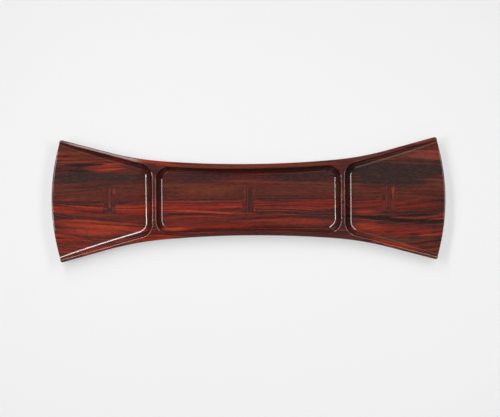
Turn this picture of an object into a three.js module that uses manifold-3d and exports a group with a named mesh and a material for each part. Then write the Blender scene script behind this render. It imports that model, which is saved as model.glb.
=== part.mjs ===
// A bow-tie serving tray of dark rosewood. Two long boards are edge-glued at the centre,
// four short boards widen the corners, and the blank is carved into three coved
// compartments. The two end floors scoop up to the open ends. A butterfly key, itself
// glued up from five plies, is let into each floor across the centre joint.
// Millimetres, +X along the tray, +Y to the back, +Z up, origin at the centre of the base.

import * as THREE from 'three';
import { mergeVertices } from 'three/addons/utils/BufferGeometryUtils.js';
import Module from 'manifold-3d';

// Outline from above
const trayLength = 620;
const waistWidth = 112.2;
const waistRadius = 1640;
const waistArcReach = 135;
const flareRadius = 480;
const flareAngle = THREE.MathUtils.degToRad(15);
const endRadius = 325;
const tipRadius = 3;

// Edges of the blank
const trayHeight = 28;
const sideUndercut = 13;
const sideSweep = THREE.MathUtils.degToRad(60);
const endUndercut = 60;
const endEdgeThickness = 9;
const rimRound = 1;

// Compartments
const floorThickness = 9;
const centreLength = 290.4;
const centreRim = 7.6;
const centreWallRun = 10.5;
const dividerWidth = 6;
const endRim = 4.4;
const endWallRun = 11.8;
const endWallTaper = 0.75;
const mouthDepth = 4.5;
const floorCornerRadius = 10;
const arrisRound = 0.8;
const endEase = 2;

// Boards
const cornerJointOffset = 3;
const glueLine = 0.1;

// Butterfly keys
const keyFromEnd = 90;
const keyLength = 39;
const keyThickness = 4;
const keyClearance = 0.2;
const corePlyWidth = 5;
const linePlyWidth = 2;
const sidePlyWaist = 3.5;
const sidePlyEnd = 6.5;

// Facets along each curve
const coveSteps = 6;
const roundSteps = 2;
const undercutSteps = 5;
const endArcSteps = 8;
const tipSteps = 3;
const flareSteps = 5;
const waistSteps = 12;
const cornerSteps = 6;
const endSideSteps = 10;

// Cutters run this far past the surface they cut through
const overrun = 3;

// Sizes that follow from the ones above
const rimTop = trayHeight;
const arrisBase = rimTop - arrisRound;
const scoopRise = rimTop - mouthDepth - floorThickness;
const edgeBandBase = rimTop - mouthDepth - endEdgeThickness;
const endCentre = new THREE.Vector2(trayLength / 2 - endRadius, 0);
const endStart = centreLength / 2 + dividerWidth;
const scoopLength = trayLength / 2 - endStart;
const scoopRadius = (scoopLength ** 2 + scoopRise ** 2) / (2 * scoopRise);
const centreCornerRadius = floorCornerRadius + centreWallRun;
const endCornerRadius = floorCornerRadius + endWallRun;
const cornerJoint = waistWidth / 2 + cornerJointOffset;
const endKeyX = trayLength / 2 - keyFromEnd;
const lineInner = corePlyWidth / 2;
const lineOuter = lineInner + linePlyWidth;
const keyWaistWidth = 2 * (lineOuter + sidePlyWaist);
const keyEndWidth = 2 * (lineOuter + sidePlyEnd);
const waistCentre = new THREE.Vector2(0, waistWidth / 2 + waistRadius);
const flareStartAngle = Math.asin(waistArcReach / waistRadius);
const flareCentre = polar(waistCentre, waistRadius - flareRadius, flareStartAngle - Math.PI / 2);

const wasm = await Module();
wasm.setup();

// Finishes: oiled rosewood boards, and the plies of the keys
const oiled = { roughness: 0.3, metalness: 0, flatShading: true };
const darkBoard = new THREE.MeshStandardMaterial({ color: 0x4a2b28, ...oiled });
const redBoard = new THREE.MeshStandardMaterial({ color: 0x74301f, ...oiled });
const brownBoard = new THREE.MeshStandardMaterial({ color: 0x66372b, ...oiled });
const corePly = new THREE.MeshStandardMaterial({ color: 0x7d3a36, ...oiled });
const linePly = new THREE.MeshStandardMaterial({ color: 0x2c1a1a, ...oiled });
const sidePly = new THREE.MeshStandardMaterial({ color: 0x9a4a38, ...oiled });

function polar(centre, radius, angle) {
  const x = centre.x + radius * Math.cos(angle);
  const y = centre.y + radius * Math.sin(angle);
  return new THREE.Vector2(x, y);
}

// Calls make with evenly spaced values from first to last
function spread(first, last, steps, make) {
  return Array.from({ length: steps + 1 }, (_, step) => {
    return make(THREE.MathUtils.lerp(first, last, step / steps));
  });
}

function toSolid(geometry) {
  const bare = geometry.clone();
  bare.deleteAttribute('normal');
  bare.deleteAttribute('uv');
  const merged = mergeVertices(bare);
  const vertProperties = new Float32Array(merged.attributes.position.array);
  const triVerts = new Uint32Array(merged.index.array);
  return new wasm.Manifold(new wasm.Mesh({ numProp: 3, vertProperties, triVerts }));
}

function toGeometry(solid) {
  const { vertProperties, triVerts } = solid.getMesh();
  const geometry = new THREE.BufferGeometry();
  geometry.setAttribute('position', new THREE.BufferAttribute(vertProperties, 3));
  geometry.setIndex(new THREE.BufferAttribute(triVerts, 1));
  geometry.computeVertexNormals();
  return geometry;
}

// A solid through a stack of rings that turn anticlockwise about the stacking direction
function loft(rings, capTriangles) {
  const count = rings[0].length;
  const last = (rings.length - 1) * count;
  const index = [];
  for (let level = 0; level < last; level += count) {
    for (let i = 0; i < count; i++) {
      const next = (i + 1) % count;
      index.push(level + i, level + next, level + count + next);
      index.push(level + i, level + count + next, level + count + i);
    }
  }
  for (const [a, b, c] of capTriangles) {
    index.push(a, c, b);
    index.push(last + a, last + b, last + c);
  }
  const geometry = new THREE.BufferGeometry().setFromPoints(rings.flat());
  geometry.setIndex(index);
  return toSolid(geometry);
}

// Each half ring runs from +X round the back to -X and starts and ends on the centre
// line. The front half mirrors it, and strips across the tray close the two caps.
function loftMirrored(halfRings) {
  const rings = halfRings.map((half) => {
    const front = half.slice(1, -1).reverse().map((p) => new THREE.Vector3(p.x, -p.y, p.z));
    return [...half, ...front];
  });
  const count = rings[0].length;
  const strips = [];
  for (let i = 0; i < halfRings[0].length - 1; i++) {
    const near = (count - i) % count;
    const nearNext = count - i - 1;
    if (i > 0) strips.push([i, i + 1, near]);
    if (i + 1 < nearNext) strips.push([i + 1, nearNext, near]);
  }
  return loft(rings, strips);
}

function box(minX, maxX, minY, maxY, minZ, maxZ) {
  const geometry = new THREE.BoxGeometry(maxX - minX, maxY - minY, maxZ - minZ);
  geometry.translate((minX + maxX) / 2, (minY + maxY) / 2, (minZ + maxZ) / 2);
  return toSolid(geometry);
}

// A point of the straight flare, inset square to the side and a distance past its start
function flarePoint(inset, along) {
  const start = polar(flareCentre, flareRadius + inset, flareAngle - Math.PI / 2);
  return polar(start, along, flareAngle);
}

// The centre of the round where a flare meets the end arc
function tipPoint(sideInset, endInset) {
  const reach = flarePoint(sideInset + tipRadius, 0).sub(endCentre);
  const ahead = reach.dot(polar(new THREE.Vector2(), 1, flareAngle));
  const tipArc = endRadius - endInset - tipRadius;
  const along = -ahead + Math.sqrt(ahead ** 2 - reach.lengthSq() + tipArc ** 2);
  return flarePoint(sideInset + tipRadius, along);
}

// Back half of the blank's outline at one height
function outline(sideInset, endInset, z) {
  const tipCentre = tipPoint(sideInset, endInset);
  const endAngle = tipCentre.clone().sub(endCentre).angle();
  const sideAngle = flareAngle + Math.PI / 2;

  const right = [
    ...spread(0, endAngle, endArcSteps, (a) => polar(endCentre, endRadius - endInset, a)),
    ...spread(endAngle, sideAngle, tipSteps, (a) => polar(tipCentre, tipRadius, a)).slice(1),
    ...spread(flareAngle, flareStartAngle, flareSteps, (a) => {
      return polar(flareCentre, flareRadius + sideInset, a - Math.PI / 2);
    }),
  ];
  const waist = spread(flareStartAngle, -flareStartAngle, waistSteps, (a) => {
    return polar(waistCentre, waistRadius + sideInset, a - Math.PI / 2);
  }).slice(1, -1);
  const left = right.map((p) => new THREE.Vector2(-p.x, p.y)).reverse();
  return [...right, ...waist, ...left].map((p) => new THREE.Vector3(p.x, p.y, z));
}

// The uncut blank: upright edge band, sides turned under, ends rising from the base
function makeBlank() {
  const undercut = spread(0, 1, undercutSteps, (share) => {
    const z = edgeBandBase * share ** 2;
    const sine = Math.sin(sideSweep) * (1 - z / edgeBandBase);
    const sideShare = (1 - Math.sqrt(1 - sine ** 2)) / (1 - Math.cos(sideSweep));
    return outline(sideUndercut * sideShare, endUndercut * (1 - share), z);
  });
  const rim = spread(0, Math.PI / 2, roundSteps, (angle) => {
    const inset = rimRound * (1 - Math.cos(angle));
    return outline(inset, inset, rimTop - rimRound * (1 - Math.sin(angle)));
  });
  return loftMirrored([...undercut, ...rim]);
}

function floorHeight(x) {
  const into = Math.max(Math.abs(x) - endStart, 0);
  return floorThickness + scoopRadius - Math.sqrt(scoopRadius ** 2 - into ** 2);
}

function endRun(x) {
  const share = (rimTop - floorHeight(x)) / (rimTop - floorThickness);
  return endWallRun * share ** endWallTaper;
}

// One upright section of a compartment wall: its arris from above, the direction into the
// compartment, how far the cove runs in and the height of the floor at its foot
function wallSection(arris, inward, run) {
  const foot = arris.x + inward.x * run;
  return { arris, inward, run, floor: floorHeight(foot) };
}

function onWall(section, inset, z) {
  const x = section.arris.x + section.inward.x * inset;
  const y = section.arris.y + section.inward.y * inset;
  return new THREE.Vector3(x, y, z);
}

// The hollow of a compartment: a quarter ellipse from floor to arris, then a small round
function makeHollow(sections) {
  const cove = spread(Math.PI / 2, 0, coveSteps, (angle) => sections.map((s) => {
    const z = s.floor + (arrisBase - s.floor) * (1 - Math.sin(angle));
    return onWall(s, s.run * (1 - Math.cos(angle)), z);
  }));
  const round = spread(0, Math.PI / 2, roundSteps, (angle) => sections.map((s) => {
    return onWall(s, -arrisRound * (1 - Math.cos(angle)), arrisBase + arrisRound * Math.sin(angle));
  })).slice(1);
  const above = sections.map((s) => onWall(s, -arrisRound, rimTop + overrun));
  return loftMirrored([...cove, ...round, above]);
}

// The wall round an inner corner of a compartment
function cornerSections(centre, radius, firstAngle, lastAngle, runAt) {
  return spread(firstAngle, lastAngle, cornerSteps, (angle) => {
    const arris = polar(centre, radius, angle);
    const inward = polar(new THREE.Vector2(), -1, angle);
    return wallSection(arris, inward, runAt(arris.x));
  });
}

function centreSections() {
  const run = () => centreWallRun;
  const sideRadius = waistRadius + centreRim;
  const reach = sideRadius + centreCornerRadius;
  const cornerAngle = Math.asin((centreLength / 2 - centreCornerRadius) / reach);
  const cornerCentre = polar(waistCentre, reach, cornerAngle - Math.PI / 2);
  const sideStart = Math.PI / 2 + cornerAngle;
  const divider = wallSection(new THREE.Vector2(centreLength / 2, 0), new THREE.Vector2(-1, 0), run());
  const right = [divider, ...cornerSections(cornerCentre, centreCornerRadius, 0, sideStart, run)];
  const side = spread(cornerAngle, -cornerAngle, waistSteps, (angle) => {
    const arris = polar(waistCentre, sideRadius, angle - Math.PI / 2);
    return wallSection(arris, polar(new THREE.Vector2(), 1, angle - Math.PI / 2), run());
  }).slice(1, -1);
  return [...right, ...side, ...mirrorSections(right)];
}

// The side arris of an end compartment runs beside the straight flare of the outline
function endArris(x) {
  const start = flarePoint(endRim, 0);
  return flarePoint(endRim, (x - start.x) / Math.cos(flareAngle));
}

function endSections() {
  const inward = polar(new THREE.Vector2(), 1, flareAngle - Math.PI / 2);
  const outside = trayLength / 2 + overrun;
  const cornerX = endStart + endCornerRadius;
  const cornerCentre = endArris(cornerX);
  cornerCentre.y -= endCornerRadius / Math.cos(flareAngle);
  const tangentX = cornerX - endCornerRadius * Math.sin(flareAngle);
  const sideEnd = flareAngle + Math.PI / 2;

  const mouth = wallSection(new THREE.Vector2(outside, 0), new THREE.Vector2(), 0);
  const side = spread(outside, tangentX, endSideSteps, (x) => wallSection(endArris(x), inward, endRun(x)));
  const corner = cornerSections(cornerCentre, endCornerRadius, sideEnd, Math.PI, endRun).slice(1);
  const divider = wallSection(new THREE.Vector2(endStart, 0), new THREE.Vector2(1, 0), endRun(endStart));
  return [mouth, ...side, ...corner, divider];
}

function mirrorSections(sections) {
  return sections.map((s) => ({
    ...s,
    arris: new THREE.Vector2(-s.arris.x, s.arris.y),
    inward: new THREE.Vector2(-s.inward.x, s.inward.y),
  })).reverse();
}

// The bevel that eases the end edge of an end floor, over the facets of the end arc that
// lie between the feet of the two walls
function makeEndEase(direction) {
  const tip = tipPoint(0, 0);
  const facetAngle = tip.clone().sub(endCentre).angle() / endArcSteps;
  const footY = endArris(tip.x).y - endRun(tip.x);
  const facets = Math.floor(Math.asin(footY / endRadius) / facetAngle);
  const sweep = facets * facetAngle;
  const rings = spread(-sweep, sweep, 2 * facets, (angle) => {
    const edge = floorHeight(polar(endCentre, endRadius, angle).x);
    const triangle = [[1, 1], [1, -2], [-2, 1]];
    return triangle.map(([out, up]) => {
      const point = polar(endCentre, endRadius + out * endEase, angle);
      return new THREE.Vector3(direction * point.x, direction * point.y, edge + up * endEase);
    });
  });
  return loft(rings, [[0, 1, 2]]);
}

// A straight-sided hourglass, grown all round by the clearance it is given
function keyPrism(x, bed, clearance) {
  const halfLength = keyLength / 2 + clearance;
  const halfEnd = keyEndWidth / 2 + clearance;
  const halfWaist = keyWaistWidth / 2 + clearance;
  const hourglass = new THREE.Shape();
  hourglass.moveTo(-halfEnd, -halfLength);
  hourglass.lineTo(halfEnd, -halfLength);
  hourglass.lineTo(halfWaist, 0);
  hourglass.lineTo(halfEnd, halfLength);
  hourglass.lineTo(-halfEnd, halfLength);
  hourglass.lineTo(-halfWaist, 0);
  hourglass.closePath();
  const prism = new THREE.ExtrudeGeometry(hourglass, {
    depth: trayHeight - bed + overrun,
    bevelEnabled: false,
  });
  prism.translate(x, 0, bed);
  return toSolid(prism);
}

const tray = new THREE.Group();

function addPiece(parent, name, solid, material) {
  const geometry = toGeometry(solid);
  geometry.translate(-parent.position.x, -parent.position.y, -parent.position.z);
  const piece = new THREE.Mesh(geometry, material);
  piece.name = name;
  parent.add(piece);
}

// Carve the blank, and let each key's recess into its floor
const carved = makeBlank()
  .subtract(makeHollow(centreSections()))
  .subtract(makeHollow(endSections()))
  .subtract(makeHollow(mirrorSections(endSections())))
  .subtract(makeEndEase(1))
  .subtract(makeEndEase(-1));

const keys = [
  { name: 'left_key', x: -endKeyX },
  { name: 'centre_key', x: 0 },
  { name: 'right_key', x: endKeyX },
].map((key) => ({ ...key, bed: floorHeight(key.x) - keyThickness }));

let boards = carved;
for (const { x, bed } of keys) {
  boards = boards.subtract(keyPrism(x, bed - glueLine, keyClearance));
}

// Boards, cut apart at the glue lines
const beyond = trayLength;
const halfGlue = glueLine / 2;
const centreStrip = [halfGlue, cornerJoint - halfGlue];
const cornerStrip = [cornerJoint + halfGlue, beyond];

function cutBoard(minX, maxX, [inner, outer], side) {
  const [minY, maxY] = side > 0 ? [inner, outer] : [-outer, -inner];
  return boards.intersect(box(minX, maxX, minY, maxY, -overrun, trayHeight + overrun));
}

addPiece(tray, 'centre_board_back', cutBoard(-beyond, beyond, centreStrip, 1), darkBoard);
addPiece(tray, 'centre_board_front', cutBoard(-beyond, beyond, centreStrip, -1), redBoard);
addPiece(tray, 'corner_board_left_back', cutBoard(-beyond, 0, cornerStrip, 1), brownBoard);
addPiece(tray, 'corner_board_left_front', cutBoard(-beyond, 0, cornerStrip, -1), brownBoard);
addPiece(tray, 'corner_board_right_back', cutBoard(0, beyond, cornerStrip, 1), brownBoard);
addPiece(tray, 'corner_board_right_front', cutBoard(0, beyond, cornerStrip, -1), brownBoard);

// Plies of a key, between these distances from its long centre line
const plies = [
  { name: 'side_ply_left', from: -keyEndWidth, to: -lineOuter - halfGlue, material: sidePly },
  { name: 'line_ply_left', from: -lineOuter + halfGlue, to: -lineInner - halfGlue, material: linePly },
  { name: 'core_ply', from: -lineInner + halfGlue, to: lineInner - halfGlue, material: corePly },
  { name: 'line_ply_right', from: lineInner + halfGlue, to: lineOuter - halfGlue, material: linePly },
  { name: 'side_ply_right', from: lineOuter + halfGlue, to: keyEndWidth, material: sidePly },
];

for (const key of keys) {
  const flush = keyPrism(key.x, key.bed, 0).intersect(carved);
  const group = new THREE.Group();
  group.position.set(key.x, 0, key.bed);
  tray.add(group);
  for (const ply of plies) {
    const slice = box(key.x + ply.from, key.x + ply.to, -keyLength, keyLength, 0, trayHeight);
    addPiece(group, `${key.name}_${ply.name}`, flush.intersect(slice), ply.material);
  }
}

export default tray;
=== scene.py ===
import math

import bmesh
import bpy
from mathutils import Matrix, Vector


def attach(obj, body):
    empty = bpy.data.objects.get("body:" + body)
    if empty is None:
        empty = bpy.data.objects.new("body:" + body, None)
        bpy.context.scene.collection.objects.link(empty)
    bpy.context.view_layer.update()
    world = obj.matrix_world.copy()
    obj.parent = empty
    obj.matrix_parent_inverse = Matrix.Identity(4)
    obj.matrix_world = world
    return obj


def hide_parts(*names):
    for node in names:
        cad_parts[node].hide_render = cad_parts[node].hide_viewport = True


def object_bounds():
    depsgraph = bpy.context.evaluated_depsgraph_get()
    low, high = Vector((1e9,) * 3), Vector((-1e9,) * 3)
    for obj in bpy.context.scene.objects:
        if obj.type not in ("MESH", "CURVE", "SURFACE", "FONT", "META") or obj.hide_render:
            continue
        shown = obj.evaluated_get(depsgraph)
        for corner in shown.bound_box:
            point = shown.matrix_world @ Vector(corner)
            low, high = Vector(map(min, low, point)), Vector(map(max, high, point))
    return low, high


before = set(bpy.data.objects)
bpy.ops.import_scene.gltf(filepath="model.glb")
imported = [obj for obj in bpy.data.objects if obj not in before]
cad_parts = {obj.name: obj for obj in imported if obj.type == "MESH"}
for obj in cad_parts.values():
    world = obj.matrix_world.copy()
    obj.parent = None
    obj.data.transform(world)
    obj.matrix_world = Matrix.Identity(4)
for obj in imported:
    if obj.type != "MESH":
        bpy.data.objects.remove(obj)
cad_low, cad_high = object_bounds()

bl_info = {
    "name": "Bow-tie Serving Tray",
    "version": (1, 0, 0),
    "blender": (4, 5, 0),
    "location": "View3D > Sidebar > Tray",
    "description": "Carves, joins and finishes a three-compartment rosewood serving tray",
    "category": "Object",
}

MM = 0.001
TINY = 1e-6
BLANK = "carved_blank"
MIRROR_Y = Vector((1, -1, 1))


def linear(hex_colour):
    """An sRGB colour such as "6b3a2c" as three linear values."""
    values = [int(hex_colour[i : i + 2], 16) / 255 for i in (0, 2, 4)]
    return [v / 12.92 if v <= 0.04045 else ((v + 0.055) / 1.055) ** 2.4 for v in values]


def length_property(name, description, millimetres):
    return bpy.props.FloatProperty(
        name=name, description=description, default=millimetres * MM, min=0,
        precision=4, subtype="DISTANCE", unit="LENGTH",
    )


def colour_property(name, description, hex_colour):
    return bpy.props.FloatVectorProperty(
        name=name, description=description, default=linear(hex_colour), size=3,
        min=0, max=1, subtype="COLOR",
    )


def angle_property(name, description, radians):
    return bpy.props.FloatProperty(
        name=name, description=description, default=radians, subtype="ANGLE", unit="ROTATION"
    )


def share_property(name, description, share):
    return bpy.props.FloatProperty(
        name=name, description=description, default=share, min=0, max=1
    )


def power_property(name, lamp, watts):
    return bpy.props.FloatProperty(
        name=name, description="Power of the " + lamp, default=watts, min=0, unit="POWER"
    )


# Sizes and colours that a user would change


class TraySizes(bpy.types.PropertyGroup):
    tray_length: bpy.props.FloatProperty(
        name="Length", description="Over the middle of the two end arcs",
        default=cad_high.x - cad_low.x, subtype="DISTANCE", unit="LENGTH",
    )
    tray_height: bpy.props.FloatProperty(
        name="Height", description="From the table to the rims",
        default=cad_high.z, subtype="DISTANCE", unit="LENGTH",
    )
    waist_width: length_property("Waist width", "Across the middle", 112.2)
    waist_radius: length_property("Waist radius", "Of the hollow long sides", 1640)
    waist_reach: length_property("Waist reach", "Half length of the waist arc", 135)
    flare_radius: length_property("Flare radius", "Where the sides turn out", 480)
    flare_angle: angle_property(
        "Flare angle", "Of the straight sides at the ends", math.radians(15)
    )
    end_radius: length_property("End radius", "Of the end arcs, from above", 325)
    tip_radius: length_property("Tip radius", "Of the four corners, from above", 3)
    side_undercut: length_property("Side undercut", "How far the sides turn under", 13)
    side_sweep: angle_property(
        "Side sweep", "Angle that the turned-under side goes through", math.radians(60)
    )
    end_undercut: length_property("End undercut", "How far the ends rise over", 60)
    end_edge: length_property("End edge", "Thickness of the open end's edge", 9)
    rim_round: length_property("Rim round", "Radius of the rims' outer edge", 1)
    floor_thickness: length_property("Floor thickness", "Under the deep floors", 9)
    centre_length: length_property("Centre length", "Of the middle compartment", 289.5)
    centre_rim: length_property("Centre rim", "Width of the rim at the waist", 8.1)
    centre_run: length_property("Centre cove run", "How far the cove runs in", 10.05)
    corner_fill: length_property("Corner fill", "How much further it runs in at the corners", 1.9)
    divider: length_property("Divider width", "Of the rims between compartments", 7.5)
    end_rim: length_property("End rim", "Width of the rims at the ends", 5.2)
    end_run: length_property("End cove run", "How far the cove runs in", 11.2)
    end_run_taper: bpy.props.FloatProperty(
        name="Cove taper", description="How the run shrinks as the floor rises",
        default=0.7, min=0, max=2,
    )
    mouth_depth: length_property("Mouth depth", "From rim to floor at the open end", 4.5)
    corner_radius: length_property("Corner radius", "Of the floor's corners", 10)
    arris_round: length_property("Arris round", "Radius of the rims' inner edge", 1.8)
    end_ease: length_property("End ease", "Radius of the open end's edge", 2)
    corner_joint: length_property("Corner joint", "From the centre line", 59.1)


class KeySizes(bpy.types.PropertyGroup):
    from_end: length_property("From the end", "Centre of an end key", 90)
    length: length_property("Length", "Across the centre joint", 39)
    depth: length_property("Depth", "Of the recess in the floor", 4)
    core_width: length_property("Core ply", "Width of the middle ply", 5)
    line_width: length_property("Line ply", "Width of a line ply", 2)
    side_waist: length_property("Side ply, waist", "Width at the key's waist", 3.5)
    side_end: length_property("Side ply, end", "Width at the key's ends", 6.5)


class WoodTones(bpy.types.PropertyGroup):
    ebony: colour_property("Ebony", "The blackest streaks", "1c1312")
    umber: colour_property("Umber", "Broad dark bands", "322422")
    plum: colour_property("Plum", "Purple-brown heartwood", "3d2122")
    garnet: colour_property("Garnet", "Red-brown heartwood", "56211c")
    chestnut: colour_property("Chestnut", "Brown heartwood", "593024")
    ember: colour_property("Ember", "Red streaks", "84271b")
    orange: colour_property("Orange", "Bright orange-red streaks", "a63a22")
    amber: colour_property("Amber", "Orange-brown heartwood", "7b3a1f")
    rose: colour_property("Rose", "Pinkish plies", "7a3831")


class FinishSettings(bpy.types.PropertyGroup):
    wood_roughness: share_property("Wood roughness", "Under the finish", 0.42)
    coat_roughness: share_property("Coat roughness", "Of the rubbed finish", 0.07)
    coat_index: bpy.props.FloatProperty(
        name="Coat index", description="Of refraction, so how strongly it mirrors",
        default=1.65, min=1, max=3,
    )
    pore_relief: share_property("Pore relief", "How much the pores break the gloss", 0.06)


class StageSettings(bpy.types.PropertyGroup):
    camera_height: length_property("Camera height", "Above the table", 2800)
    view_width: length_property("View width", "Across the picture, at the rims", 785)
    view_turn: angle_property(
        "View turn", "Of the camera about the vertical", -math.atan(0.00855)
    )
    look_x: length_property("Look at X", "Centre of the picture", 2.16)
    look_y: bpy.props.FloatProperty(
        name="Look at Y", description="Centre of the picture", default=-13.88 * MM,
        subtype="DISTANCE", unit="LENGTH",
    )
    table_colour: colour_property("Table", "Pale studio table, away from the lamps", "f8f8f8")
    # Painted shade: the table's tone near the lamps, darker where their light falls strongest
    table_painted_shade: colour_property("Table near the lamps", "Its tone at the back left", "dedede")
    left_light: power_property("Left light", "softbox at the back left", 6.9)
    low_left_light: power_property("Low left light", "short softbox at the left", 4.3)
    far_left_light: power_property("Far left light", "long softbox beyond the left one", 4.2)
    far_right_light: power_property("Far right light", "dim panel beyond the right softbox", 1.8)
    front_right_light: power_property("Front right light", "dim panel at the front right", 2.3)
    front_left_light: power_property("Front left light", "dim panel at the front left", 0.9)
    rim_light: power_property("Rim light", "narrow softbox that the back left rim mirrors", 0.17)
    ceiling_light: power_property("Ceiling light", "dim panel that the floors mirror", 0.09)
    right_light: power_property("Right light", "softbox at the back right", 6.6)
    wide_light: power_property("Wide light", "large dim softbox at the left", 1.4)
    lamp_height: length_property("Lamp height", "Above the table", 1000)
    room_light: bpy.props.FloatProperty(
        name="Room light", description="Even light from all round", default=0.03, min=0,
    )
    table_glow: share_property(
        "Table glow", "Share of the table's paleness that no shadow dims", 0.55
    )


# How smooth the curves are

WAIST_STEPS = 56
FLARE_STEPS = 20
TIP_STEPS = 6
END_ARC_STEPS = 24
UNDERCUT_STEPS = 16
ROUND_STEPS = 5
COVE_STEPS = 20
CORNER_STEPS = 16
END_SIDE_STEPS = 44
EASE_STEPS = 8
SMOOTH_ANGLE = math.radians(30)

# The round on an open end: where it starts, how late it dies out, and the least share of it

EASE_START = math.radians(7)
EASE_FADE = 8
EASE_LEAST = 0.05

# How far a cutter reaches past the wood, and how clear it stays of a face

OVERRUN = 3 * MM
CLEAR = 0.01 * MM


# Points and curves


def heading(angle):
    return Vector((math.cos(angle), math.sin(angle)))


def polar(centre, radius, angle):
    return centre + heading(angle) * radius


def spread(first, last, steps):
    return [first + (last - first) * step / steps for step in range(steps + 1)]


def lift(point, height):
    return Vector((point.x, point.y, height))


def whole_ring(back):
    """The back half of a ring, from +X round to -X, with its mirror image in front."""
    front = [p * MIRROR_Y for p in reversed(back) if abs(p.y) > TINY]
    return [*back, *front]


class Outline:
    """The bow-tie shape from above."""

    def __init__(self, sizes):
        self.s = sizes
        self.waist_centre = Vector((0, sizes.waist_width / 2 + sizes.waist_radius))
        self.flare_start = math.asin(sizes.waist_reach / sizes.waist_radius)
        self.flare_centre = polar(
            self.waist_centre,
            sizes.waist_radius - sizes.flare_radius,
            self.flare_start - math.pi / 2,
        )
        self.end_centre = Vector((sizes.tray_length / 2 - sizes.end_radius, 0))

    def flare_point(self, inset, along):
        """A point of the straight flare, inset square to the side."""
        radius = self.s.flare_radius + inset
        start = polar(self.flare_centre, radius, self.s.flare_angle - math.pi / 2)
        return polar(start, along, self.s.flare_angle)

    def tip(self, side_inset, end_inset):
        """The centre of the round where a flare meets the end arc."""
        reach = self.flare_point(side_inset + self.s.tip_radius, 0) - self.end_centre
        ahead = reach.dot(heading(self.s.flare_angle))
        arc = self.s.end_radius - end_inset - self.s.tip_radius
        along = -ahead + math.sqrt(ahead**2 - reach.length_squared + arc**2)
        return self.flare_point(side_inset + self.s.tip_radius, along)

    def ring(self, side_inset, end_inset, height):
        s = self.s
        tip = self.tip(side_inset, end_inset)
        to_tip = tip - self.end_centre
        end_angle = math.atan2(to_tip.y, to_tip.x)
        side_angle = s.flare_angle + math.pi / 2
        right = [
            *[polar(self.end_centre, s.end_radius - end_inset, a)
              for a in spread(0, end_angle, END_ARC_STEPS)],
            *[polar(tip, s.tip_radius, a) for a in spread(end_angle, side_angle, TIP_STEPS)[1:]],
            *[polar(self.flare_centre, s.flare_radius + side_inset, a - math.pi / 2)
              for a in spread(s.flare_angle, self.flare_start, FLARE_STEPS)],
        ]
        waist = [
            polar(self.waist_centre, s.waist_radius + side_inset, a - math.pi / 2)
            for a in spread(self.flare_start, -self.flare_start, WAIST_STEPS)[1:-1]
        ]
        left = [Vector((-p.x, p.y)) for p in reversed(right)]
        return whole_ring([lift(p, height) for p in (*right, *waist, *left)])


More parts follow.
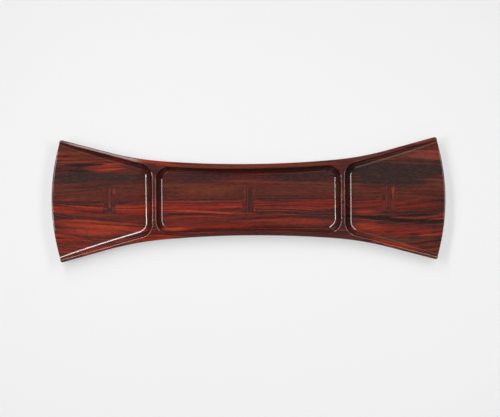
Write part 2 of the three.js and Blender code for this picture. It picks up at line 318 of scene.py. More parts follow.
class Hollows:
    """The coved walls and the floors. A wall section is its arris from above, the direction
    into the compartment and how far the cove runs in."""

    def __init__(self, sizes):
        self.s = sizes
        self.outline = Outline(sizes)
        self.end_start = sizes.centre_length / 2 + sizes.divider
        rise = sizes.tray_height - sizes.mouth_depth - sizes.floor_thickness
        reach = sizes.tray_length / 2 - self.end_start
        self.scoop_radius = (reach**2 + rise**2) / (2 * rise)

    def floor(self, x):
        into = max(abs(x) - self.end_start, 0)
        up_to_centre = math.sqrt(self.scoop_radius**2 - into**2)
        return self.s.floor_thickness + self.scoop_radius - up_to_centre

    def floor_slope(self, x):
        return math.asin((abs(x) - self.end_start) / self.scoop_radius)

    def run(self, x):
        """How far the cove of an end compartment runs in, less where the floor is higher."""
        height = self.s.tray_height
        share = (height - self.floor(x)) / (height - self.s.floor_thickness)
        return self.s.end_run * share**self.s.end_run_taper

    def side_arris(self, x):
        start = self.outline.flare_point(self.s.end_rim, 0)
        return self.outline.flare_point(self.s.end_rim, (x - start.x) / math.cos(self.s.flare_angle))

    def corner(self, centre, radius, first, last, run_at):
        """Run_at gives the run at a point of the arris, some share of the way round."""
        sections = []
        for share in spread(0, 1, CORNER_STEPS):
            angle = first + (last - first) * share
            arris = polar(centre, radius, angle)
            sections.append((arris, -heading(angle), run_at(arris.x, share)))
        return sections

    def centre_sections(self):
        s = self.s
        radius = s.corner_radius + s.centre_run
        side_radius = s.waist_radius + s.centre_rim
        reach = side_radius + radius
        turn = math.asin((s.centre_length / 2 - radius) / reach)
        waist_centre = self.outline.waist_centre
        corner_centre = polar(waist_centre, reach, turn - math.pi / 2)
        right = self.corner(
            corner_centre, radius, 0, math.pi / 2 + turn,
            lambda x, share: s.centre_run + s.corner_fill * math.sin(math.pi * share) ** 2,
        )
        side = [
            (polar(waist_centre, side_radius, a), heading(a), s.centre_run)
            for a in (turned - math.pi / 2 for turned in spread(turn, -turn, WAIST_STEPS)[1:-1])
        ]
        left = [
            (Vector((-p.x, p.y)), Vector((-inward.x, inward.y)), run)
            for p, inward, run in reversed(right)
        ]
        return [*right, *side, *left]

    def end_sections(self):
        s = self.s
        inward = heading(s.flare_angle - math.pi / 2)
        radius = s.corner_radius + s.end_run
        corner_x = self.end_start + radius
        corner_centre = self.side_arris(corner_x) - Vector((0, radius / math.cos(s.flare_angle)))
        tangent_x = corner_x - radius * math.sin(s.flare_angle)
        outside = s.tray_length / 2 + OVERRUN
        side = [
            (self.side_arris(x), inward, self.run(x))
            for x in spread(outside, tangent_x, END_SIDE_STEPS)
        ]
        corner = self.corner(
            corner_centre, radius, s.flare_angle + math.pi / 2, math.pi,
            lambda x, share: self.run(x),
        )
        return [*side, *corner[1:]]

    def rings(self, sections):
        """From the foot of the cove, a quarter ellipse, over the arris and above the rims."""
        s = self.s
        base = s.tray_height - s.arris_round
        levels = []
        for angle in spread(math.pi / 2, 0, COVE_STEPS):
            levels.append((lambda run, a=angle: run * (1 - math.cos(a)), 1 - math.sin(angle), 0))
        for angle in spread(0, math.pi / 2, ROUND_STEPS)[1:]:
            out = -s.arris_round * (1 - math.cos(angle))
            up = (s.arris_round + CLEAR) * math.sin(angle)
            levels.append((lambda run, o=out: o, 1, up))
        levels.append((lambda run: -s.arris_round, 1, s.arris_round + OVERRUN))
        rings = []
        for inset_at, share, above in levels:
            ring = []
            for arris, inward, run in sections:
                floor = self.floor((arris + inward * run).x)
                height = floor + (base - floor) * share + above
                ring.append(lift(arris + inward * inset_at(run), height))
            rings.append(whole_ring(ring))
        return rings


# Modelling


def deselect_all():
    if bpy.context.object and bpy.context.object.mode == "EDIT":
        bpy.ops.object.mode_set(mode="OBJECT")
    bpy.ops.object.select_all(action="DESELECT")


def select_only(piece):
    deselect_all()
    piece.select_set(True)
    bpy.context.view_layer.objects.active = piece


def place_ring(points, before=None):
    """Moves the selected vertices to these points, in the order of the ring that they were
    extruded from, and returns their indices. The first ring goes in the order it was made."""
    mesh = bpy.context.object.data
    work = bmesh.from_edit_mesh(mesh)
    work.verts.index_update()
    work.verts.ensure_lookup_table()
    picked = sorted((v for v in work.verts if v.select), key=lambda v: v.index)
    if before:
        bases = [work.verts[index] for index in before]
        beside = [[edge.other_vert(base) for edge in base.link_edges] for base in bases]
        picked = [next(v for v in vertices if v.select) for vertices in beside]
    for vertex, point in zip(picked, points, strict=True):
        vertex.co = point
    bmesh.update_edit_mesh(mesh)
    return [vertex.index for vertex in picked]


def extrude_rings(name, rings, open_floor=False):
    """A closed body, extruded ring by ring. An open floor is bridged across the tray."""
    deselect_all()
    bpy.ops.mesh.primitive_circle_add(
        vertices=len(rings[0]), fill_type="NOTHING" if open_floor else "NGON"
    )
    piece = bpy.context.object
    piece.name = name
    bpy.ops.object.mode_set(mode="EDIT")
    bpy.ops.mesh.select_mode(type="EDGE")
    bpy.ops.mesh.select_all(action="SELECT")
    placed = place_ring(rings[0])
    for ring in rings[1:]:
        bpy.ops.mesh.extrude_region_move()
        placed = place_ring(ring, placed)
    if open_floor:
        bpy.ops.mesh.edge_face_add()
        work = bmesh.from_edit_mesh(piece.data)
        for edge in work.edges:
            one, other = edge.verts
            edge.select_set(edge.is_boundary and one.co.y * other.co.y > 0)
        work.select_flush_mode()
        bmesh.update_edit_mesh(piece.data)
        bpy.ops.mesh.bridge_edge_loops()
    bpy.ops.mesh.select_all(action="SELECT")
    bpy.ops.mesh.normals_make_consistent(inside=False)
    bpy.ops.object.mode_set(mode="OBJECT")
    return piece


def copy_of(piece, name):
    select_only(piece)
    bpy.ops.object.duplicate()
    twin = bpy.context.object
    twin.name = name
    return twin


def combine(piece, tool, operation):
    """Cuts the tool out of the piece, or keeps what the two share, and removes the tool."""
    select_only(piece)
    bpy.ops.object.modifier_add(type="BOOLEAN")
    modifier = piece.modifiers[-1]
    modifier.operation = operation
    modifier.solver = "MANIFOLD"
    modifier.object = tool
    bpy.ops.object.modifier_apply(modifier=modifier.name)
    select_only(tool)
    bpy.ops.object.delete()
    if not piece.data.polygons:
        raise RuntimeError(f"nothing is left of {piece.name}")


def block(low, high):
    deselect_all()
    bpy.ops.mesh.primitive_cube_add(size=1, location=(Vector(low) + Vector(high)) / 2)
    piece = bpy.context.object
    piece.dimensions = Vector(high) - Vector(low)
    bpy.ops.object.transform_apply(location=True, rotation=True, scale=True)
    return piece


def saw_out(piece, name, low, high):
    """A copy of what the piece has between two corners. None there is no limit."""
    far = 1.0
    low = [-far if value is None else value for value in low]
    high = [far if value is None else value for value in high]
    part = copy_of(piece, name)
    combine(part, block(low, high), "INTERSECT")
    return part


def finish_piece(piece, node, material):
    """Smooths the curves, gives the wood and ties the piece to the node it stands for."""
    select_only(piece)
    bpy.ops.object.mode_set(mode="EDIT")
    bpy.ops.mesh.select_all(action="SELECT")
    bpy.ops.mesh.normals_make_consistent(inside=False)
    bpy.ops.object.mode_set(mode="OBJECT")
    bpy.ops.object.shade_smooth_by_angle(angle=SMOOTH_ANGLE)
    bpy.ops.object.modifier_add(type="WEIGHTED_NORMAL")
    modifier = piece.modifiers[-1]
    modifier.keep_sharp = True
    bpy.ops.object.modifier_apply(modifier=modifier.name)
    piece.data.materials.clear()
    piece.data.materials.append(material)
    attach(piece, "root")
    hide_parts(node)


# Materials


def add_node(tree, kind, inputs, **settings):
    """Adds a node with its settings. An input that is a socket is linked."""
    node = tree.nodes.new(kind)
    for name, value in settings.items():
        setattr(node, name, value)
    for key, value in inputs.items():
        if isinstance(value, bpy.types.NodeSocket):
            tree.links.new(value, node.inputs[key])
        else:
            node.inputs[key].default_value = value
    return node


# How much the grain frays a streak, and where that puts its edge

STREAK_FRAY = 1.8
STREAK_EDGE = 1.95


class Streak:
    """A spindle-shaped band of another tone, in millimetres: where its middle is, half its
    length and width, how it slopes, its tone, how strong it is and how soft its edge."""

    def __init__(self, x, y, reach, half, slope, tone, strength, soft):
        self.middle = (x * MM, y * MM, 0)
        self.size = (reach * MM, half * MM, 1)
        self.slope = slope
        self.tone = tone
        self.strength = strength
        self.soft = soft


def paint(tree, colour, factor, tone):
    mixed = add_node(
        tree, "ShaderNodeMix", {0: factor, 6: colour, 7: (*tone, 1)}, data_type="RGBA"
    )
    return mixed.outputs[2]


def ease(tree, value, first, last, strength):
    """Nothing at the first value, rising smoothly to this strength at the last."""
    mask = add_node(
        tree, "ShaderNodeMapRange", {0: value, 1: first, 2: last, 3: 0.0, 4: strength},
        interpolation_type="SMOOTHSTEP",
    )
    return mask.outputs[0]


def maths(tree, operation, *values, clamp=False):
    node = add_node(
        tree, "ShaderNodeMath", dict(enumerate(values)), operation=operation, use_clamp=clamp
    )
    return node.outputs[0]


def multiply_add(tree, value, factor, other):
    return maths(tree, "MULTIPLY_ADD", value, factor, other)


def noise_along(tree, point, along, across, deep, detail, seed):
    """Noise whose features are this long, wide and deep, in millimetres, with the grain along X.
    The boards are cut so that their growth layers go deeper than they are wide."""
    moved = add_node(
        tree, "ShaderNodeMapping",
        {"Vector": point, "Location": (seed, seed * 0.7, 0),
         "Scale": (1000 / along, 1000 / across, 1000 / deep)},
    )
    noise = add_node(
        tree, "ShaderNodeTexNoise",
        {"Vector": moved.outputs[0], "Scale": 1.0, "Detail": detail, "Roughness": 0.6},
    )
    return noise.outputs[0]


def cocobolo(name, tones, finish, base, streaks, seed, contrast, lean=0.0, along_y=False):
    """Cocobolo, a dense oily rosewood, planed, scraped and rubbed with oil and wax to a gloss.
    The eye sees red to orange heartwood with purple-black lines that run with the grain,
    darker end grain, pores as short fine dark scratches, and a clear film over them that
    mirrors the lamps."""
    material = bpy.data.materials.new(name)
    material.use_nodes = True
    tree = material.node_tree
    tree.nodes.clear()
    texture_place = add_node(tree, "ShaderNodeTexCoord", {})
    place = texture_place.outputs["Object"]
    quarter = math.pi / 2 if along_y else 0

    def with_grain(point):
        turned = add_node(tree, "ShaderNodeMapping", {"Vector": point, "Rotation": (0, 0, quarter)})
        return turned.outputs[0]

    # The grain wanders: slowly by about 3 mm, and quickly by half a millimetre
    straight = with_grain(place)
    slow = noise_along(tree, straight, 230, 42, 90, 2, seed)
    quick = noise_along(tree, straight, 46, 9, 60, 2, seed + 5)
    drift = multiply_add(tree, quick, 0.003, multiply_add(tree, slow, 0.016, -0.0095))

    def shifted(point, amount):
        sideways = add_node(tree, "ShaderNodeCombineXYZ", {0 if along_y else 1: amount})
        return add_node(
            tree, "ShaderNodeVectorMath", {0: point, 1: sideways.outputs[0]}, operation="ADD"
        ).outputs[0]

    wandering = shifted(place, drift)
    # The growth layers lean, so that the sides show long grain too
    up = add_node(tree, "ShaderNodeSeparateXYZ", {0: place}).outputs["Z"]
    grain_place = with_grain(shifted(wandering, multiply_add(tree, up, lean, 0.0)))

    # Growth zones 15 mm wide, bands of 3.5 mm and lines of 1.5 mm
    zones = noise_along(tree, grain_place, 300, 15, 60, 2, seed + 11)
    bands = noise_along(tree, grain_place, 240, 3.5, 60, 2, seed + 17)
    lines = noise_along(tree, grain_place, 90, 1.5, 30, 2, seed + 29)
    grain = multiply_add(tree, bands, 0.6, multiply_add(tree, lines, 0.4, 0.0))
    figure = multiply_add(tree, zones, 0.7, 0.15 - contrast * 0.25)
    figure = multiply_add(tree, grain, contrast * 0.5, figure)
    ramp = add_node(tree, "ShaderNodeValToRGB", {0: figure})
    stops = ramp.color_ramp.elements
    stops[0].position, stops[-1].position = 0.4, 0.6
    stops.new(0.5)
    for stop, tone in zip(stops, base, strict=True):
        stop.color = (*getattr(tones, tone), 1)
    colour = ramp.outputs[0]
    colour = paint(tree, colour, ease(tree, grain, 0.48, 0.38, 0.5 * contrast), tones.ebony)
    colour = paint(tree, colour, ease(tree, grain, 0.53, 0.64, 0.6 * contrast), tones.orange)

    for streak in streaks:
        own = add_node(
            tree, "ShaderNodeMapping",
            {"Vector": wandering, "Location": streak.middle,
             "Rotation": (0, 0, math.atan(streak.slope) + quarter), "Scale": streak.size},
            vector_type="TEXTURE",
        )
        far = add_node(tree, "ShaderNodeVectorMath", {0: own.outputs[0]}, operation="LENGTH")
        ragged = multiply_add(tree, grain, STREAK_FRAY, far.outputs["Value"])
        mask = ease(tree, ragged, STREAK_EDGE, STREAK_EDGE - streak.soft, streak.strength)
        colour = paint(tree, colour, mask, getattr(tones, streak.tone))

    # Fainter growth lines run through the streaks too
    colour = paint(tree, colour, ease(tree, grain, 0.48, 0.38, 0.35 * contrast), tones.ebony)

    # Flecks 9 mm long, and pores 4 mm long and 0.25 mm wide
    flecks = noise_along(tree, grain_place, 9, 1.3, 4, 2, seed + 37)
    colour = paint(tree, colour, ease(tree, flecks, 0.5, 0.68, 0.42), tones.ebony)
    colour = paint(tree, colour, ease(tree, flecks, 0.48, 0.32, 0.22), tones.amber)
    pores = noise_along(tree, grain_place, 4, 0.25, 0.4, 1, seed + 23)
    colour = paint(tree, colour, ease(tree, pores, 0.57, 0.68, 0.5), tones.ebony)

    # End grain drinks more oil, so the walls that cross the grain are darker
    across_grain = add_node(tree, "ShaderNodeSeparateXYZ", {0: texture_place.outputs["Normal"]})
    steepness = maths(tree, "ABSOLUTE", across_grain.outputs[1 if along_y else 0])
    colour = paint(tree, colour, ease(tree, steepness, 0.35, 0.95, 0.6), tones.ebony)

    bump = add_node(
        tree, "ShaderNodeBump",
        {"Height": pores, "Strength": finish.pore_relief, "Distance": 0.1 * MM},
    )
    shader = add_node(
        tree, "ShaderNodeBsdfPrincipled",
        {"Base Color": colour, "Roughness": finish.wood_roughness, "Specular IOR Level": 0.0,
         "Coat Weight": 1.0, "Coat Roughness": finish.coat_roughness, "Coat IOR": finish.coat_index,
         "Normal": bump.outputs[0]},
    )
    add_node(tree, "ShaderNodeOutputMaterial", {"Surface": shader.outputs[0]})
    return material


# How far the boards' growth layers lean towards the centre joint for each step up, the grain's
# contrasts, and the seed of the back centre board's grain, which the side plies share

LEAN = 0.6
QUIET, LIVELY, BOLD = 0.5, 0.8, 1.0
CENTRE_SEED = 1.3

# The figure of each board: its darkest and brightest streaks

CENTRE_BACK = [
    # left end
    Streak(-235, 12, 100, 11, 0.0, "garnet", 0.7, 0.8),
    Streak(-240, 23, 60, 6, 0.0, "plum", 0.7, 0.9),
    Streak(-272, 37, 48, 11, 0.0, "umber", 0.95, 0.5),
    Streak(-205, 36, 62, 8, -0.02, "umber", 0.85, 0.6),
    Streak(-222, 51, 40, 8, 0.06, "orange", 0.55, 0.8),
    Streak(-226, 56, 36, 1.6, 0.05, "orange", 0.8, 0.6),
    Streak(-215, 48.5, 36, 1.4, 0.06, "orange", 0.8, 0.6),
    Streak(-218, 51.5, 36, 1.1, 0.06, "umber", 0.6, 0.6),
    Streak(-258, 55.5, 38, 3, 0.0, "ebony", 0.95, 0.5),
    Streak(-268, 45.5, 24, 2.2, 0.0, "ebony", 0.9, 0.5),
    # middle
    Streak(-62, 14, 75, 10, 0.02, "amber", 0.6, 0.9),
    Streak(60, 12, 90, 9, 0.0, "chestnut", 0.6, 0.9),
    Streak(-75, 34, 80, 10, 0.0, "plum", 0.85, 0.7),
    Streak(75, 35, 80, 9, 0.0, "plum", 0.85, 0.7),
    Streak(75, 38, 70, 3, 0.0, "umber", 0.6, 0.5),
    Streak(0, 53.5, 165, 5, 0.0, "amber", 0.6, 0.5),
    Streak(-135, 58, 40, 4, -0.1, "orange", 0.6, 0.8),
    Streak(-62, 0.6, 52, 1.3, 0.0, "umber", 0.7, 0.5),
    # right end
    Streak(240, 40, 110, 21, 0.0, "umber", 1.0, 0.35),
    Streak(235, 10.5, 90, 8, 0.0, "garnet", 0.6, 0.7),
    Streak(300, 32, 22, 9, 0.0, "garnet", 0.45, 0.9),
]
CENTRE_FRONT = [
    # left end
    Streak(-240, -20, 70, 2, -0.02, "umber", 0.65, 0.6),
    Streak(-205, -25, 50, 2.4, 0.0, "umber", 0.6, 0.6),
    Streak(-270, -26, 36, 4, -0.05, "plum", 0.7, 0.8),
    Streak(-302, -27, 16, 5, 0.0, "plum", 0.7, 0.8),
    Streak(-235, -2.2, 92, 3.2, 0.0, "plum", 0.95, 0.5),
    Streak(-262, -10, 35, 1.2, -0.07, "orange", 0.75, 0.6),
    Streak(-200, -10, 45, 1.2, 0.0, "orange", 0.8, 0.6),
    Streak(-192, -13.8, 40, 1.2, 0.0, "orange", 0.8, 0.6),
    Streak(-245, -50, 66, 7, -0.03, "orange", 0.75, 0.8),
    Streak(-262, -32, 42, 3, -0.05, "orange", 0.8, 0.7),
    Streak(-235, -41, 76, 5.5, -0.06, "orange", 0.95, 0.7),
    Streak(-215, -35.5, 50, 1.8, -0.05, "orange", 0.8, 0.6),
    Streak(-215, -39, 55, 1.2, -0.05, "umber", 0.65, 0.5),
    Streak(-255, -46, 42, 1.2, -0.04, "umber", 0.5, 0.6),
    # middle
    Streak(-85, -32, 60, 6, 0.0, "ember", 0.5, 0.9),
    Streak(85, -37, 72, 7, -0.01, "orange", 0.5, 0.9),
    Streak(-30, -2, 95, 2.4, 0.0, "plum", 0.85, 0.6),
    Streak(50, -2, 45, 2, 0.01, "umber", 0.8, 0.5),
    Streak(-15, -1, 14, 0.9, 0.0, "orange", 0.7, 0.6),
    Streak(-70, -10, 60, 1.2, 0.0, "umber", 0.5, 0.6),
    Streak(-25, -12.5, 20, 1.3, 0.0, "orange", 0.8, 0.6),
    Streak(68, -15, 62, 1.3, 0.0, "orange", 0.8, 0.6),
    Streak(-65, -21.6, 78, 2.2, -0.043, "orange", 0.95, 0.6),
    Streak(-18, -28, 28, 1.6, -0.03, "umber", 0.6, 0.5),
    Streak(82, -25, 52, 2.6, -0.03, "umber", 0.9, 0.5),
    Streak(-118, -45.5, 30, 4, 0.0, "orange", 0.95, 0.7),
    Streak(0, -47.3, 130, 1.1, 0.0, "umber", 0.7, 0.5),
    Streak(0, -56, 150, 6, 0.0, "plum", 0.95, 0.4),
    Streak(0, -57, 140, 4.5, 0.0, "chestnut", 0.5, 0.6),
    Streak(-148, -25, 7, 10, 0.0, "umber", 0.6, 0.7),
    Streak(148, -26, 7, 7, 0.0, "umber", 0.6, 0.7),
    # right end
    Streak(235, -12, 95, 10, 0.0, "ember", 0.4, 0.9),
    Streak(182, -20, 28, 5, -0.03, "orange", 0.6, 0.8),
    Streak(235, -50, 85, 10, -0.03, "ember", 0.75, 0.8),
    Streak(188, -44, 34, 7, -0.12, "orange", 0.7, 0.8),
    Streak(205, -32, 60, 4.6, -0.09, "ebony", 0.9, 0.4),
    Streak(280, -36, 54, 5, 0.0, "ebony", 0.9, 0.4),
    Streak(265, -25.8, 44, 2.8, 0.076, "ebony", 0.85, 0.5),
    Streak(222, -53, 9, 2, 0.0, "ebony", 0.7, 0.8),
    Streak(261, -56, 12, 3, 0.0, "ebony", 0.75, 0.8),
    Streak(297, -53, 12, 4, 0.0, "umber", 0.7, 0.8),
]
CORNER_LEFT_BACK = [
    Streak(-262, 76, 26, 7, -0.1, "amber", 0.35, 0.9),
    Streak(-245, 68, 30, 4, -0.05, "plum", 0.6, 0.9),
    Streak(-222, 63, 48, 1.3, 0.0, "ember", 0.8, 0.6),
    Streak(-150, 64, 46, 7, -0.1, "orange", 0.65, 0.8),
]
CORNER_LEFT_FRONT = [
    Streak(-250, -66, 70, 5, 0.0, "plum", 0.7, 0.8),
    Streak(-285, -76, 30, 6, 0.0, "garnet", 0.6, 0.9),
]
CORNER_RIGHT_BACK = [Streak(255, 61, 70, 4, 0.0, "umber", 0.8, 0.6)]
CORNER_RIGHT_FRONT = [
    Streak(232, -71, 50, 4.5, -0.26, "orange", 0.9, 0.6),
    Streak(262, -61, 14, 3, 0.0, "umber", 0.8, 0.8),
    Streak(298, -62, 14, 4, 0.0, "umber", 0.7, 0.8),
]

PLY_TONES = {
    "side_ply": ("plum", "garnet", "chestnut"),
    "line_ply": ("plum", "garnet", "plum"),
    "core_ply": ("plum", "garnet", "rose"),
}
KEY_STREAKS = {
    "left_key": [
        Streak(-226, 2, 18, 5, 0.0, "garnet", 0.6, 0.8),
        Streak(-217.5, 3, 16, 1.6, 0.0, "umber", 0.85, 0.5),
        Streak(-214.4, 6, 14, 0.9, 0.0, "rose", 0.8, 0.5),
        Streak(-222, -14.5, 4, 11, 0.0, "umber", 0.9, 0.4),
    ],
    "centre_key": [
        Streak(-6, 10, 12, 1.7, 0.0, "rose", 0.7, 0.5),
        Streak(-6, -10.5, 3, 1.6, 0.0, "rose", 0.8, 0.5),
        Streak(6, 0, 18, 1.5, 0.0, "ember", 0.5, 0.6),
        Streak(8, -11, 7, 0.7, 0.0, "umber", 0.7, 0.5),
    ],
    "right_key": [
        Streak(213.6, 0, 18, 0.8, 0.0, "umber", 0.8, 0.5),
        Streak(215.2, 0, 18, 0.9, 0.0, "chestnut", 0.8, 0.5),
        Streak(219, 16, 5, 2.4, 0.0, "amber", 0.7, 0.6),
        Streak(222, -15, 3.4, 3.4, 0.0, "umber", 0.85, 0.5),
    ],
}
# The side plies are cut from the same wood as the floor, so it runs on across them. What
# shows on them is a few spots
SIDE_STREAKS = {
    "left_key": [
        Streak(-212, 15, 3.4, 5, 0.0, "rose", 0.8, 0.7),
        Streak(-229, -15, 4, 4, 0.0, "umber", 0.7, 0.7),
    ],
    "centre_key": [
        Streak(-6, 10, 1.7, 12, 0.0, "rose", 0.6, 0.6),
        Streak(9.5, 2, 1.2, 18, 0.0, "orange", 0.5, 0.6),
        Streak(9.5, -15, 1.3, 4, 0.0, "orange", 0.8, 0.6),
    ],
    "right_key": [
        Streak(229, 13, 3.2, 8.5, 0.0, "orange", 0.95, 0.6),
        Streak(228.3, 3, 1.4, 6, 0.0, "orange", 0.8, 0.6),
    ],
}


# Operators


class CarveBlank(bpy.types.Operator):
    """Shape the outside of the tray and hollow out its three compartments"""

    bl_idname = "tray.carve_blank"
    bl_label = "Carve the blank"

    def execute(self, context):
        sizes = context.scene.tray_sizes
        outline, hollows = Outline(sizes), Hollows(sizes)
        band_base = sizes.tray_height - sizes.mouth_depth - sizes.end_edge

        # The sides turn under on an arc, and the ends rise on a parabola
        rings = []
        for share in spread(0, 1, UNDERCUT_STEPS):
            height = band_base * share**2
            sine = math.sin(sizes.side_sweep) * (1 - height / band_base)
            side = (1 - math.sqrt(1 - sine**2)) / (1 - math.cos(sizes.side_sweep))
            rings.append(
                outline.ring(sizes.side_undercut * side, sizes.end_undercut * (1 - share), height)
            )
        for angle in spread(0, math.pi / 2, ROUND_STEPS):
            inset = sizes.rim_round * (1 - math.cos(angle))
            top = sizes.tray_height - sizes.rim_round * (1 - math.sin(angle))
            rings.append(outline.ring(inset, inset, top))
        blank = extrude_rings(BLANK, rings)

        centre = extrude_rings("centre_hollow", hollows.rings(hollows.centre_sections()))
        combine(blank, centre, "DIFFERENCE")
        right = extrude_rings("end_hollow", hollows.rings(hollows.end_sections()), open_floor=True)
        edge_round = self.end_ease(sizes, hollows)
        for cutter in (right, edge_round):
            left = copy_of(cutter, "left_" + cutter.name)
            bpy.ops.transform.rotate(value=math.pi, orient_axis="Z", center_override=(0, 0, 0))
            bpy.ops.object.transform_apply(location=True, rotation=True, scale=True)
            combine(blank, cutter, "DIFFERENCE")
            combine(blank, left, "DIFFERENCE")
        return {"FINISHED"}

    def end_ease(self, sizes, hollows):
        """The round on the upper edge of an open end. It dies out at the feet of the walls, and
        starts a hair inside the end face, so that it cuts it cleanly."""
        outline = hollows.outline
        tip = outline.tip(0, 0)
        foot = hollows.side_arris(tip.x).y - hollows.run(tip.x)
        sweep = math.asin(foot / sizes.end_radius)
        rings = []
        for angle in spread(-sweep, sweep, 2 * END_ARC_STEPS):
            radius = sizes.end_ease * max(1 - (angle / sweep) ** EASE_FADE, EASE_LEAST)
            edge = polar(outline.end_centre, sizes.end_radius, angle)
            slope = hollows.floor_slope(edge.x)
            centre_out = sizes.end_radius - radius
            centre_up = hollows.floor(edge.x) - radius * (math.tan(slope) + 1 / math.cos(slope))
            profile = [
                (centre_out + radius * math.cos(a), centre_up + radius * math.sin(a))
                for a in spread(EASE_START, math.pi / 2 + slope, EASE_STEPS)
            ]
            far_out, far_up = sizes.end_radius + OVERRUN, hollows.floor(edge.x) + OVERRUN
            profile += [(profile[-1][0], far_up), (far_out, far_up), (far_out, profile[0][1])]
            rings.append([lift(polar(outline.end_centre, out, angle), up) for out, up in profile])
        return extrude_rings("end_ease", rings)


class LetInKeys(bpy.types.Operator):
    """Make the three butterfly keys of five plies each and let them into the floors"""

    bl_idname = "tray.let_in_keys"
    bl_label = "Let in the keys"

    def execute(self, context):
        tray, sizes = context.scene.tray_sizes, context.scene.tray_keys
        tones, finish = context.scene.tray_tones, context.scene.tray_finish
        hollows = Hollows(tray)
        blank = bpy.data.objects[BLANK]
        line_inner = sizes.core_width / 2
        line_outer = line_inner + sizes.line_width
        plies = [
            ("side_ply_left", None, -line_outer),
            ("line_ply_left", -line_outer, -line_inner),
            ("core_ply", -line_inner, line_inner),
            ("line_ply_right", line_inner, line_outer),
            ("side_ply_right", line_outer, None),
        ]
        end_x = tray.tray_length / 2 - sizes.from_end
        for key, x in (("left_key", -end_x), ("centre_key", 0), ("right_key", end_x)):
            prism = self.hourglass(tray, sizes, x, hollows.floor(x) - sizes.depth)
            flush = copy_of(prism, key)
            combine(flush, copy_of(blank, "blank_copy"), "INTERSECT")
            combine(blank, prism, "DIFFERENCE")
            for ply, start, end in plies:
                low = (None if start is None else x + start, None, None)
                high = (None if end is None else x + end, None, None)
                piece = saw_out(flush, f"{key}_{ply}.wood", low, high)
                slot = ply.removesuffix("_left").removesuffix("_right")
                side = slot == "side_ply"
                streaks = [*self.streaks_at(x), *SIDE_STREAKS[key]] if side else KEY_STREAKS[key]
                wood = cocobolo(
                    f"cocobolo_{key}_{ply}", tones, finish, PLY_TONES[slot], streaks,
                    CENTRE_SEED if side else x + len(ply), QUIET, along_y=not side,
                )
                finish_piece(piece, f"{key}_{ply}", wood)
            select_only(flush)
            bpy.ops.object.delete()
        return {"FINISHED"}

    def streaks_at(self, x):
        """The streaks of the centre boards that come near a key."""
        near_x, near_y = 12 * MM, 40 * MM
        return [
            streak for streak in (*CENTRE_BACK, *CENTRE_FRONT)
            if abs(streak.middle[0] - x) < streak.size[0] + near_x and abs(streak.middle[1]) < near_y
        ]

    def hourglass(self, tray, sizes, x, bed):
        """A block, cut across the middle and drawn in there."""
        waist = sizes.core_width / 2 + sizes.line_width + sizes.side_waist
        end = sizes.core_width / 2 + sizes.line_width + sizes.side_end
        half = sizes.length / 2
        prism = block((x - end, -half, bed), (x + end, half, tray.tray_height))
        bpy.ops.object.mode_set(mode="EDIT")
        bpy.ops.mesh.select_all(action="SELECT")
        bpy.ops.mesh.bisect(plane_co=(x, 0, 0), plane_no=(0, 1, 0))
        work = bmesh.from_edit_mesh(prism.data)
        for vertex in work.verts:
            vertex.select_set(abs(vertex.co.y) < TINY)
        work.select_flush_mode()
        bmesh.update_edit_mesh(prism.data)
        bpy.ops.transform.resize(value=(waist / end, 1, 1), center_override=(x, 0, 0))
        bpy.ops.object.mode_set(mode="OBJECT")
        return prism


def saw_board(scene, node, side, low, high, figure):
    """Parts a board from the blank, between two corners. Its figure is its base tones, its
    streaks, its seed and its contrast."""
    board = saw_out(bpy.data.objects[BLANK], node + ".wood", low, high)
    wood = cocobolo(
        "cocobolo_" + node, scene.tray_tones, scene.tray_finish, *figure, lean=LEAN * side
    )
    finish_piece(board, node, wood)


class SawCentreBoards(bpy.types.Operator):
    """Part the two long boards from the carved blank, either side of the centre joint"""

    bl_idname = "tray.saw_centre_boards"
    bl_label = "Centre boards"

    def execute(self, context):
        joint = context.scene.tray_sizes.corner_joint
        boards = [
            ("centre_board_back", "dark_rosewood", 1,
             (("plum", "garnet", "chestnut"), CENTRE_BACK, CENTRE_SEED, QUIET)),
            ("centre_board_front", "red_rosewood", -1,
             (("plum", "garnet", "ember"), CENTRE_FRONT, 4.2, BOLD)),
        ]
        for node, slot, side, figure in boards:
            low, high = sorted((0, side * joint))
            saw_board(
                context.scene, node, side, (None, low, None), (None, high, None), figure
            )
        return {"FINISHED"}


class SawCornerBoards(bpy.types.Operator):
    """Part the four short boards that widen the ends from the carved blank"""

    bl_idname = "tray.saw_corner_boards"
    bl_label = "Corner boards"

    def execute(self, context):
        joint = context.scene.tray_sizes.corner_joint
        boards = [
            ("corner_board_left_back", -1, 1,
             (("plum", "garnet", "chestnut"), CORNER_LEFT_BACK, 12.5, LIVELY)),
            ("corner_board_left_front", -1, -1,
             (("garnet", "chestnut", "ember"), CORNER_LEFT_FRONT, 15.1, LIVELY)),
            ("corner_board_right_back", 1, 1,
             (("garnet", "chestnut", "rose"), CORNER_RIGHT_BACK, 18.6, LIVELY)),
            ("corner_board_right_front", 1, -1,
             (("plum", "garnet", "chestnut"), CORNER_RIGHT_FRONT, 21.9, LIVELY)),
        ]
        for node, end, side, figure in boards:
            low = (0 if end > 0 else None, joint if side > 0 else None, None)
            high = (None if end > 0 else 0, None if side > 0 else -joint, None)
            saw_board(context.scene, node, side, low, high, figure)
        select_only(bpy.data.objects[BLANK])
        bpy.ops.object.delete()
        return {"FINISHED"}


# The lamps, in metres: each one's name, where its middle line starts and ends from above, its
# width, and the setting that gives its power

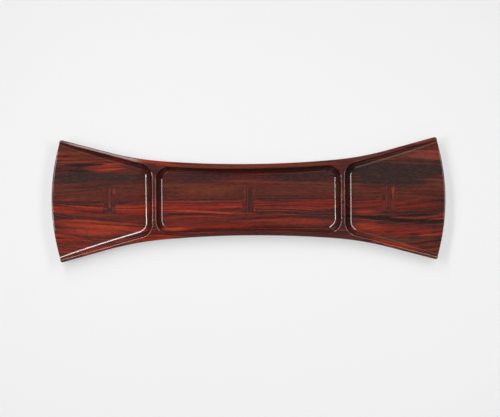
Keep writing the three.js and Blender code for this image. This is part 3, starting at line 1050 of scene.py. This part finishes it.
LAMPS = [
    ("left_softbox", (-0.59, 0.03), (-0.334, 0.84), 0.2, "left_light"),
    ("low_left_softbox", (-1.05, -0.16), (-0.62, -0.02), 0.14, "low_left_light"),
    ("far_left_softbox", (-0.37, 0.84), (-0.53, 1.35), 0.22, "far_left_light"),
    ("far_right_panel", (0.4, 0.75), (1.1, 2.2), 0.7, "far_right_light"),
    ("front_right_panel", (0.28, -0.5), (0.95, -2.5), 0.42, "front_right_light"),
    ("front_left_panel", (-0.28, -0.5), (-0.85, -2.2), 0.4, "front_left_light"),
    ("rim_softbox", (-0.38, 0.1325), (-0.235, 0.1023), 0.08, "rim_light"),
    ("ceiling_softbox", (-0.185, -0.06), (0.5, -0.06), 0.5, "ceiling_light"),
    ("right_softbox", (0.74, -0.12), (0.5, 0.62), 0.3, "right_light"),
    ("wide_softbox", (-0.75, -0.05), (-0.4, 0.7), 0.6, "wide_light"),
]

# The table, in metres: its size, how fine and how dark its mottle is, which way and from where
# its painted shade deepens towards the lamps, and its dull surface

TABLE_SIZE = 60
MOTTLE_SCALE = 400
MOTTLE_DARKNESS = 0.006
PAINTED_SHADE_SLOPE = (-0.453, 0.923, 0)
PAINTED_SHADE_START = 0.432
TABLE_ROUGHNESS = 0.9
TABLE_SHEEN = 0.1


class BuildStage(bpy.types.Operator):
    """Set the tray on a pale table under softboxes, seen from straight above"""

    bl_idname = "tray.build_stage"
    bl_label = "Stage"

    def execute(self, context):
        settings = context.scene.tray_stage
        self.table(settings)
        for name, start, end, width, light in LAMPS:
            self.lamp(name, start, end, width, settings.lamp_height, getattr(settings, light))
        self.room(context.scene, settings)
        self.camera(context.scene, settings)
        context.scene.view_settings.view_transform = "Standard"
        return {"FINISHED"}

    def table(self, settings):
        deselect_all()
        bpy.ops.mesh.primitive_plane_add(size=TABLE_SIZE)
        table = bpy.context.object
        table.name = "studio_table"
        # Matt laminate: an even pale sheet with a faint mottle from its paper, with painted shade
        # that darkens it towards the lamps, so that it looks even in their light. What is seen of
        # it, straight or mirrored, glows a little, so that the tray's shadow stays soft
        material = bpy.data.materials.new("matt_laminate")
        material.use_nodes = True
        tree = material.node_tree
        tree.nodes.clear()
        place = add_node(tree, "ShaderNodeTexCoord", {}).outputs["Object"]
        mottle = add_node(tree, "ShaderNodeTexNoise", {"Vector": place, "Scale": MOTTLE_SCALE})
        shade = add_node(
            tree, "ShaderNodeMapRange", {0: mottle.outputs[0], 3: 0.0, 4: MOTTLE_DARKNESS}
        )
        # Painted shade: how far a point lies towards the lamps, where the table is painted darker
        towards = add_node(
            tree, "ShaderNodeVectorMath", {0: place, 1: PAINTED_SHADE_SLOPE}, operation="DOT_PRODUCT"
        )
        painted_shade_share = maths(tree, "ADD", towards.outputs["Value"], PAINTED_SHADE_START, clamp=True)
        colour = paint(tree, (*settings.table_colour, 1), painted_shade_share, settings.table_painted_shade)
        colour = paint(tree, colour, shade.outputs[0], (0, 0, 0))
        shader = add_node(
            tree, "ShaderNodeBsdfPrincipled",
            {"Base Color": colour, "Roughness": TABLE_ROUGHNESS, "Specular IOR Level": TABLE_SHEEN},
        )
        glow = add_node(tree, "ShaderNodeEmission", {"Color": colour, "Strength": 1.0})
        ray = add_node(tree, "ShaderNodeLightPath", {})
        seen = ray.outputs["Is Camera Ray"]
        for kind in ("Is Glossy Ray", "Is Transmission Ray"):
            seen = maths(tree, "MAXIMUM", seen, ray.outputs[kind])
        share = maths(tree, "MULTIPLY", seen, settings.table_glow)
        surface = add_node(
            tree, "ShaderNodeMixShader", {0: share, 1: shader.outputs[0], 2: glow.outputs[0]}
        )
        add_node(tree, "ShaderNodeOutputMaterial", {"Surface": surface.outputs[0]})
        table.data.materials.append(material)

    def lamp(self, name, start, end, width, height, power):
        """A softbox that runs level from one point to another and leans over to the tray."""
        deselect_all()
        start, end = Vector((*start, height)), Vector((*end, height))
        place = (start + end) / 2
        along = (end - start).normalized()
        facing = (place - along * place.dot(along)).normalized()
        turn = Matrix((along, facing.cross(along), facing)).transposed().to_euler()
        bpy.ops.object.light_add(type="AREA", location=place, rotation=turn)
        lamp = bpy.context.object
        lamp.name = name
        lamp.data.shape = "RECTANGLE"
        lamp.data.size = (end - start).length
        lamp.data.size_y = width
        lamp.data.energy = power
        lamp.visible_camera = False

    def room(self, scene, settings):
        world = bpy.data.worlds.new("studio_room")
        world.use_nodes = True
        world.node_tree.nodes.clear()
        light = add_node(
            world.node_tree, "ShaderNodeBackground",
            {"Color": (1, 1, 1, 1), "Strength": settings.room_light},
        )
        add_node(world.node_tree, "ShaderNodeOutputWorld", {"Surface": light.outputs[0]})
        scene.world = world

    def camera(self, scene, settings):
        deselect_all()
        bpy.ops.object.camera_add(
            location=(settings.look_x, settings.look_y, settings.camera_height),
            rotation=(0, 0, settings.view_turn),
        )
        camera = bpy.context.object
        camera.name = "studio_camera"
        distance = settings.camera_height - scene.tray_sizes.tray_height
        camera.data.sensor_fit = "HORIZONTAL"
        camera.data.sensor_width = 36
        camera.data.lens = camera.data.sensor_width * distance / settings.view_width
        scene.camera = camera


OPERATORS = (CarveBlank, LetInKeys, SawCentreBoards, SawCornerBoards, BuildStage)
GROUPS = {
    "tray_sizes": TraySizes,
    "tray_keys": KeySizes,
    "tray_tones": WoodTones,
    "tray_finish": FinishSettings,
    "tray_stage": StageSettings,
}


class TrayPanel(bpy.types.Panel):
    """The steps that make the tray, and the sizes and colours they use"""

    bl_idname = "VIEW3D_PT_tray"
    bl_label = "Bow-tie Tray"
    bl_space_type = "VIEW_3D"
    bl_region_type = "UI"
    bl_category = "Tray"

    def draw(self, context):
        for operator in OPERATORS:
            self.layout.operator(operator.bl_idname)
        for name, group in GROUPS.items():
            box = self.layout.box()
            for field in group.__annotations__:
                box.prop(getattr(context.scene, name), field)


def register():
    for group in GROUPS.values():
        bpy.utils.register_class(group)
    for operator in OPERATORS:
        bpy.utils.register_class(operator)
    bpy.utils.register_class(TrayPanel)
    for name, group in GROUPS.items():
        setattr(bpy.types.Scene, name, bpy.props.PointerProperty(type=group))


def unregister():
    for name in GROUPS:
        delattr(bpy.types.Scene, name)
    bpy.utils.unregister_class(TrayPanel)
    for operator in reversed(OPERATORS):
        bpy.utils.unregister_class(operator)
    for group in reversed(GROUPS.values()):
        bpy.utils.unregister_class(group)


def main():
    register()
    bpy.ops.tray.carve_blank()
    bpy.ops.tray.let_in_keys()
    bpy.ops.tray.saw_centre_boards()
    bpy.ops.tray.saw_corner_boards()
    bpy.ops.tray.build_stage()


if __name__ == "__main__":
    main()
